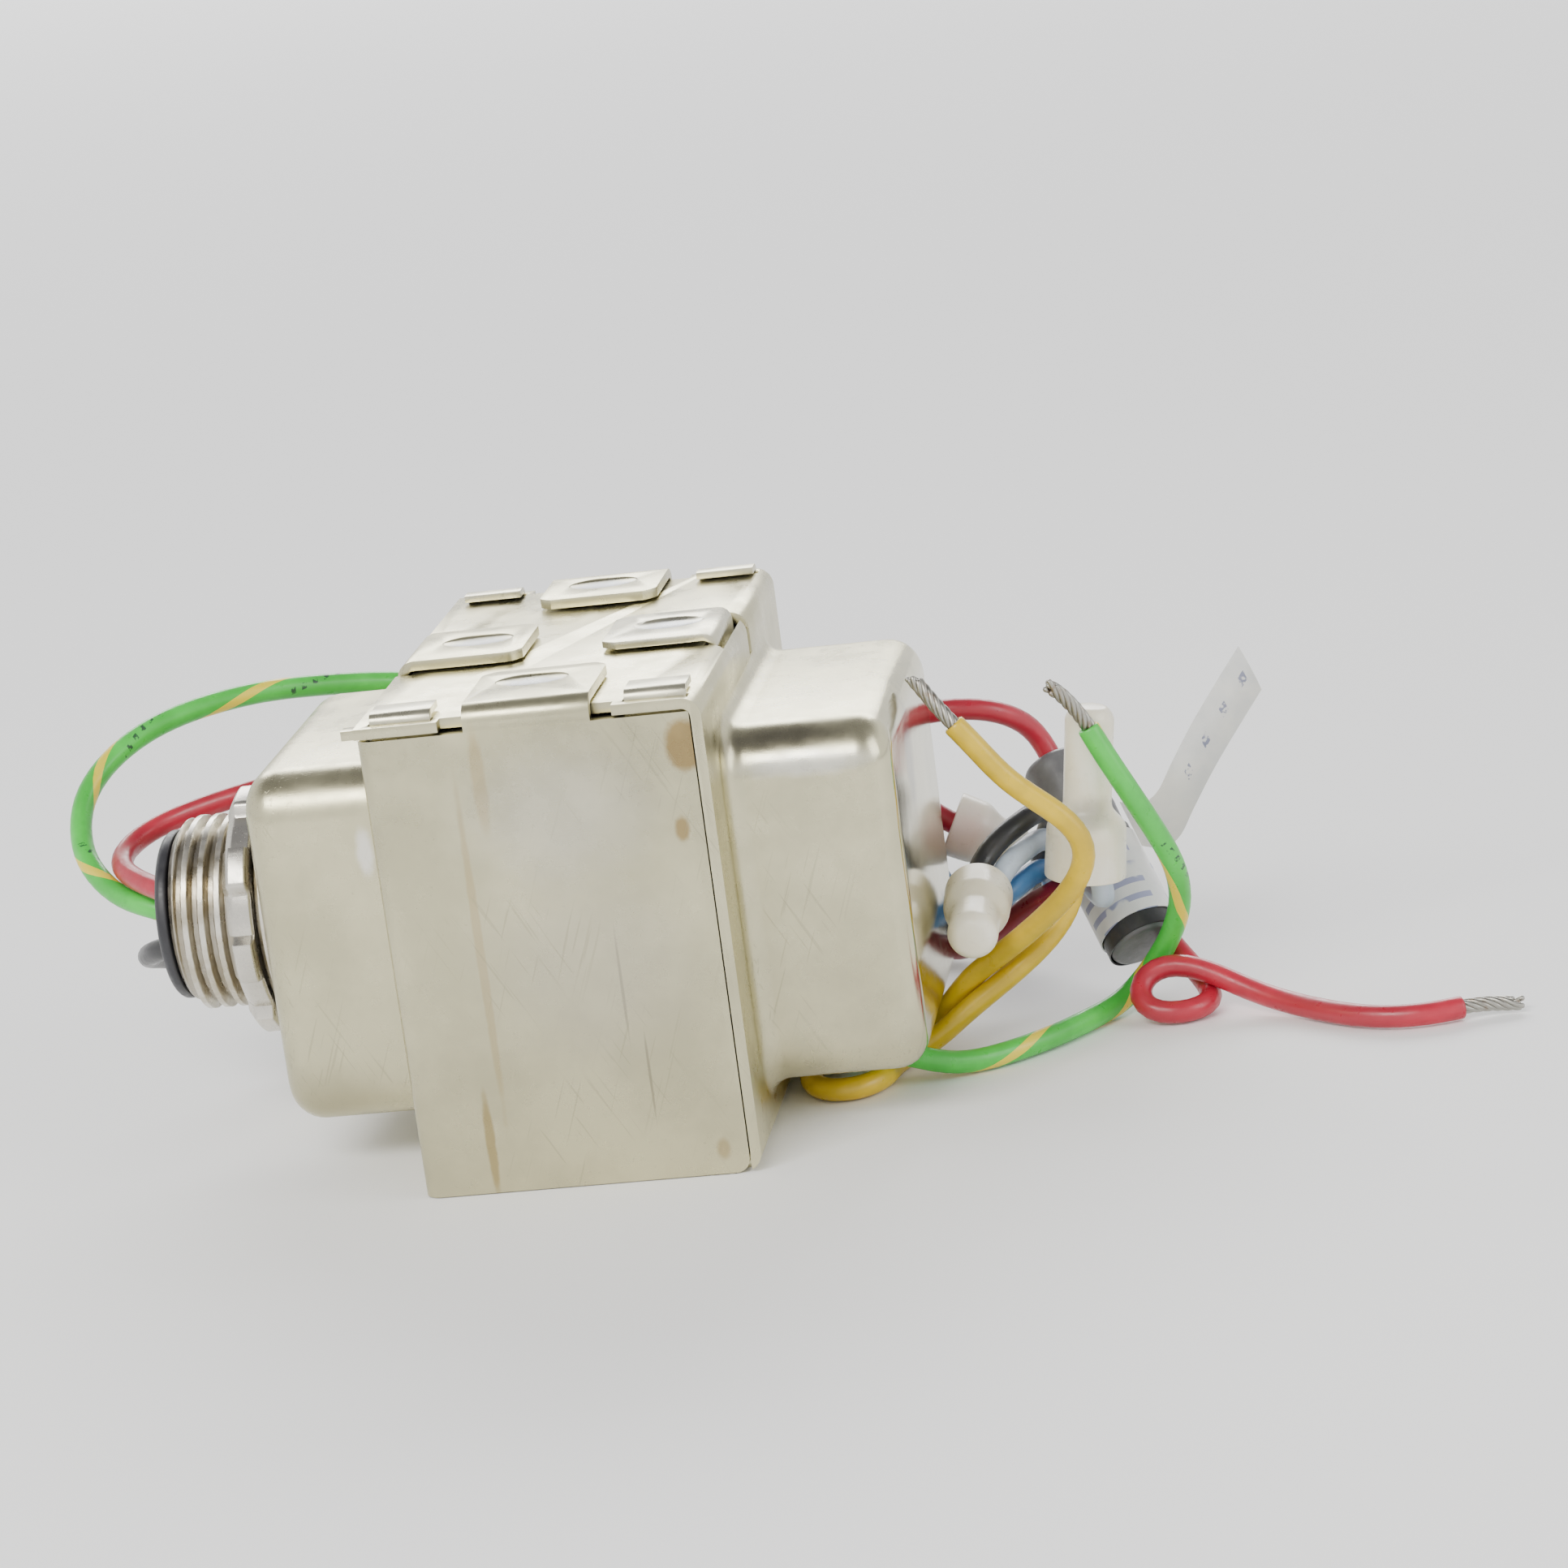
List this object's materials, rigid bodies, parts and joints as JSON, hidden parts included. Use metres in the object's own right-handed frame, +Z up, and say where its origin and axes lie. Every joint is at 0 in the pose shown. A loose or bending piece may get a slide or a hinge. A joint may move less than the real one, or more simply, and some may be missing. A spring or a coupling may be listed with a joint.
{
  "type": "whole house surge protector",
  "caption": "Steel-cased, hub-mounted line surge unit with drawn bells, a threaded conduit hub, a locknut and loose insulated leads with crimp connectors.",
  "frame": {"origin": "on the floor, under the middle of the case, bells and hub (leads left out)", "axes": "+Z up, +X from the conduit hub towards the far bell, +Y from the front wall to the back wall"},
  "size_m": [0.1601, 0.073, 0.0521],
  "materials": {
    "case_steel": "zinc plated, satin, slightly yellowed",
    "strap_steel": "zinc plated, satin",
    "core_iron": "stacked laminations, oxide grey",
    "bobbin_nylon": "natural nylon, matt",
    "coil_copper": "enamelled copper wire, glossy",
    "coil_tape": "polyester film",
    "fuse_ceramic": "plain",
    "varistor_blue": "dipped epoxy",
    "hub_steel": "nickel plated, bright",
    "black_nylon": "moulded, satin",
    "black_rubber": "matt",
    "green_pvc": "green with a narrow yellow stripe",
    "red_pvc": "smooth, slightly glossy",
    "black_pvc": "smooth, slightly glossy",
    "yellow_pvc": "smooth, slightly glossy",
    "maroon_pvc": "smooth, slightly glossy",
    "blue_pvc": "smooth, slightly glossy",
    "pale_blue_pvc": "smooth, slightly glossy",
    "tinned_copper": "twisted tinned strands",
    "clear_nylon": "milky translucent nylon",
    "crimp_tin": "tinned sleeve",
    "capsule_grey": "dark grey, matt",
    "sleeve_black": "shrink sleeve, satin",
    "label_paper": "white label with plain marks"
  },
  "bodies": {
    "unit": {"left_shell": "case_steel", "right_shell": "case_steel", "core_frame": "strap_steel", "top_clip": "strap_steel", "e_core": "core_iron", "i_core": "core_iron", "bobbin": "bobbin_nylon", "primary_winding": "coil_copper", "secondary_winding": "coil_copper", "primary_tape": "coil_tape", "secondary_tape": "coil_tape", "thermal_fuse": "fuse_ceramic", "varistor_disc": "varistor_blue", "threaded_nipple": "hub_steel", "lead_bushing": "black_nylon", "side_grommet": "black_rubber", "green_lead": "green_pvc", "red_lead_a": "red_pvc", "red_lead_b": "red_pvc", "black_lead": "black_pvc", "yellow_lead_a": "yellow_pvc", "yellow_lead_b": "yellow_pvc", "maroon_lead": "maroon_pvc", "blue_lead": "blue_pvc", "pale_blue_lead": "pale_blue_pvc", "red_stub": "red_pvc", "green_tip": "tinned_copper", "yellow_tip": "tinned_copper", "red_tip": "tinned_copper", "front_connector": "clear_nylon", "upright_connector": "clear_nylon", "rear_connector": "clear_nylon", "front_crimp": "crimp_tin", "upright_crimp": "crimp_tin", "rear_crimp": "crimp_tin", "capsule": "capsule_grey", "capsule_sleeve": "sleeve_black", "capsule_wrap": "label_paper", "label_flag": "label_paper"},
    "nut": {"locknut": "hub_steel"}
  },
  "joints": [
    {"name": "locknut_off", "type": "slide", "parent": "unit", "child": "nut", "axis": [-1, 0, 0], "range_m": [0, 0.011]}
  ]
}
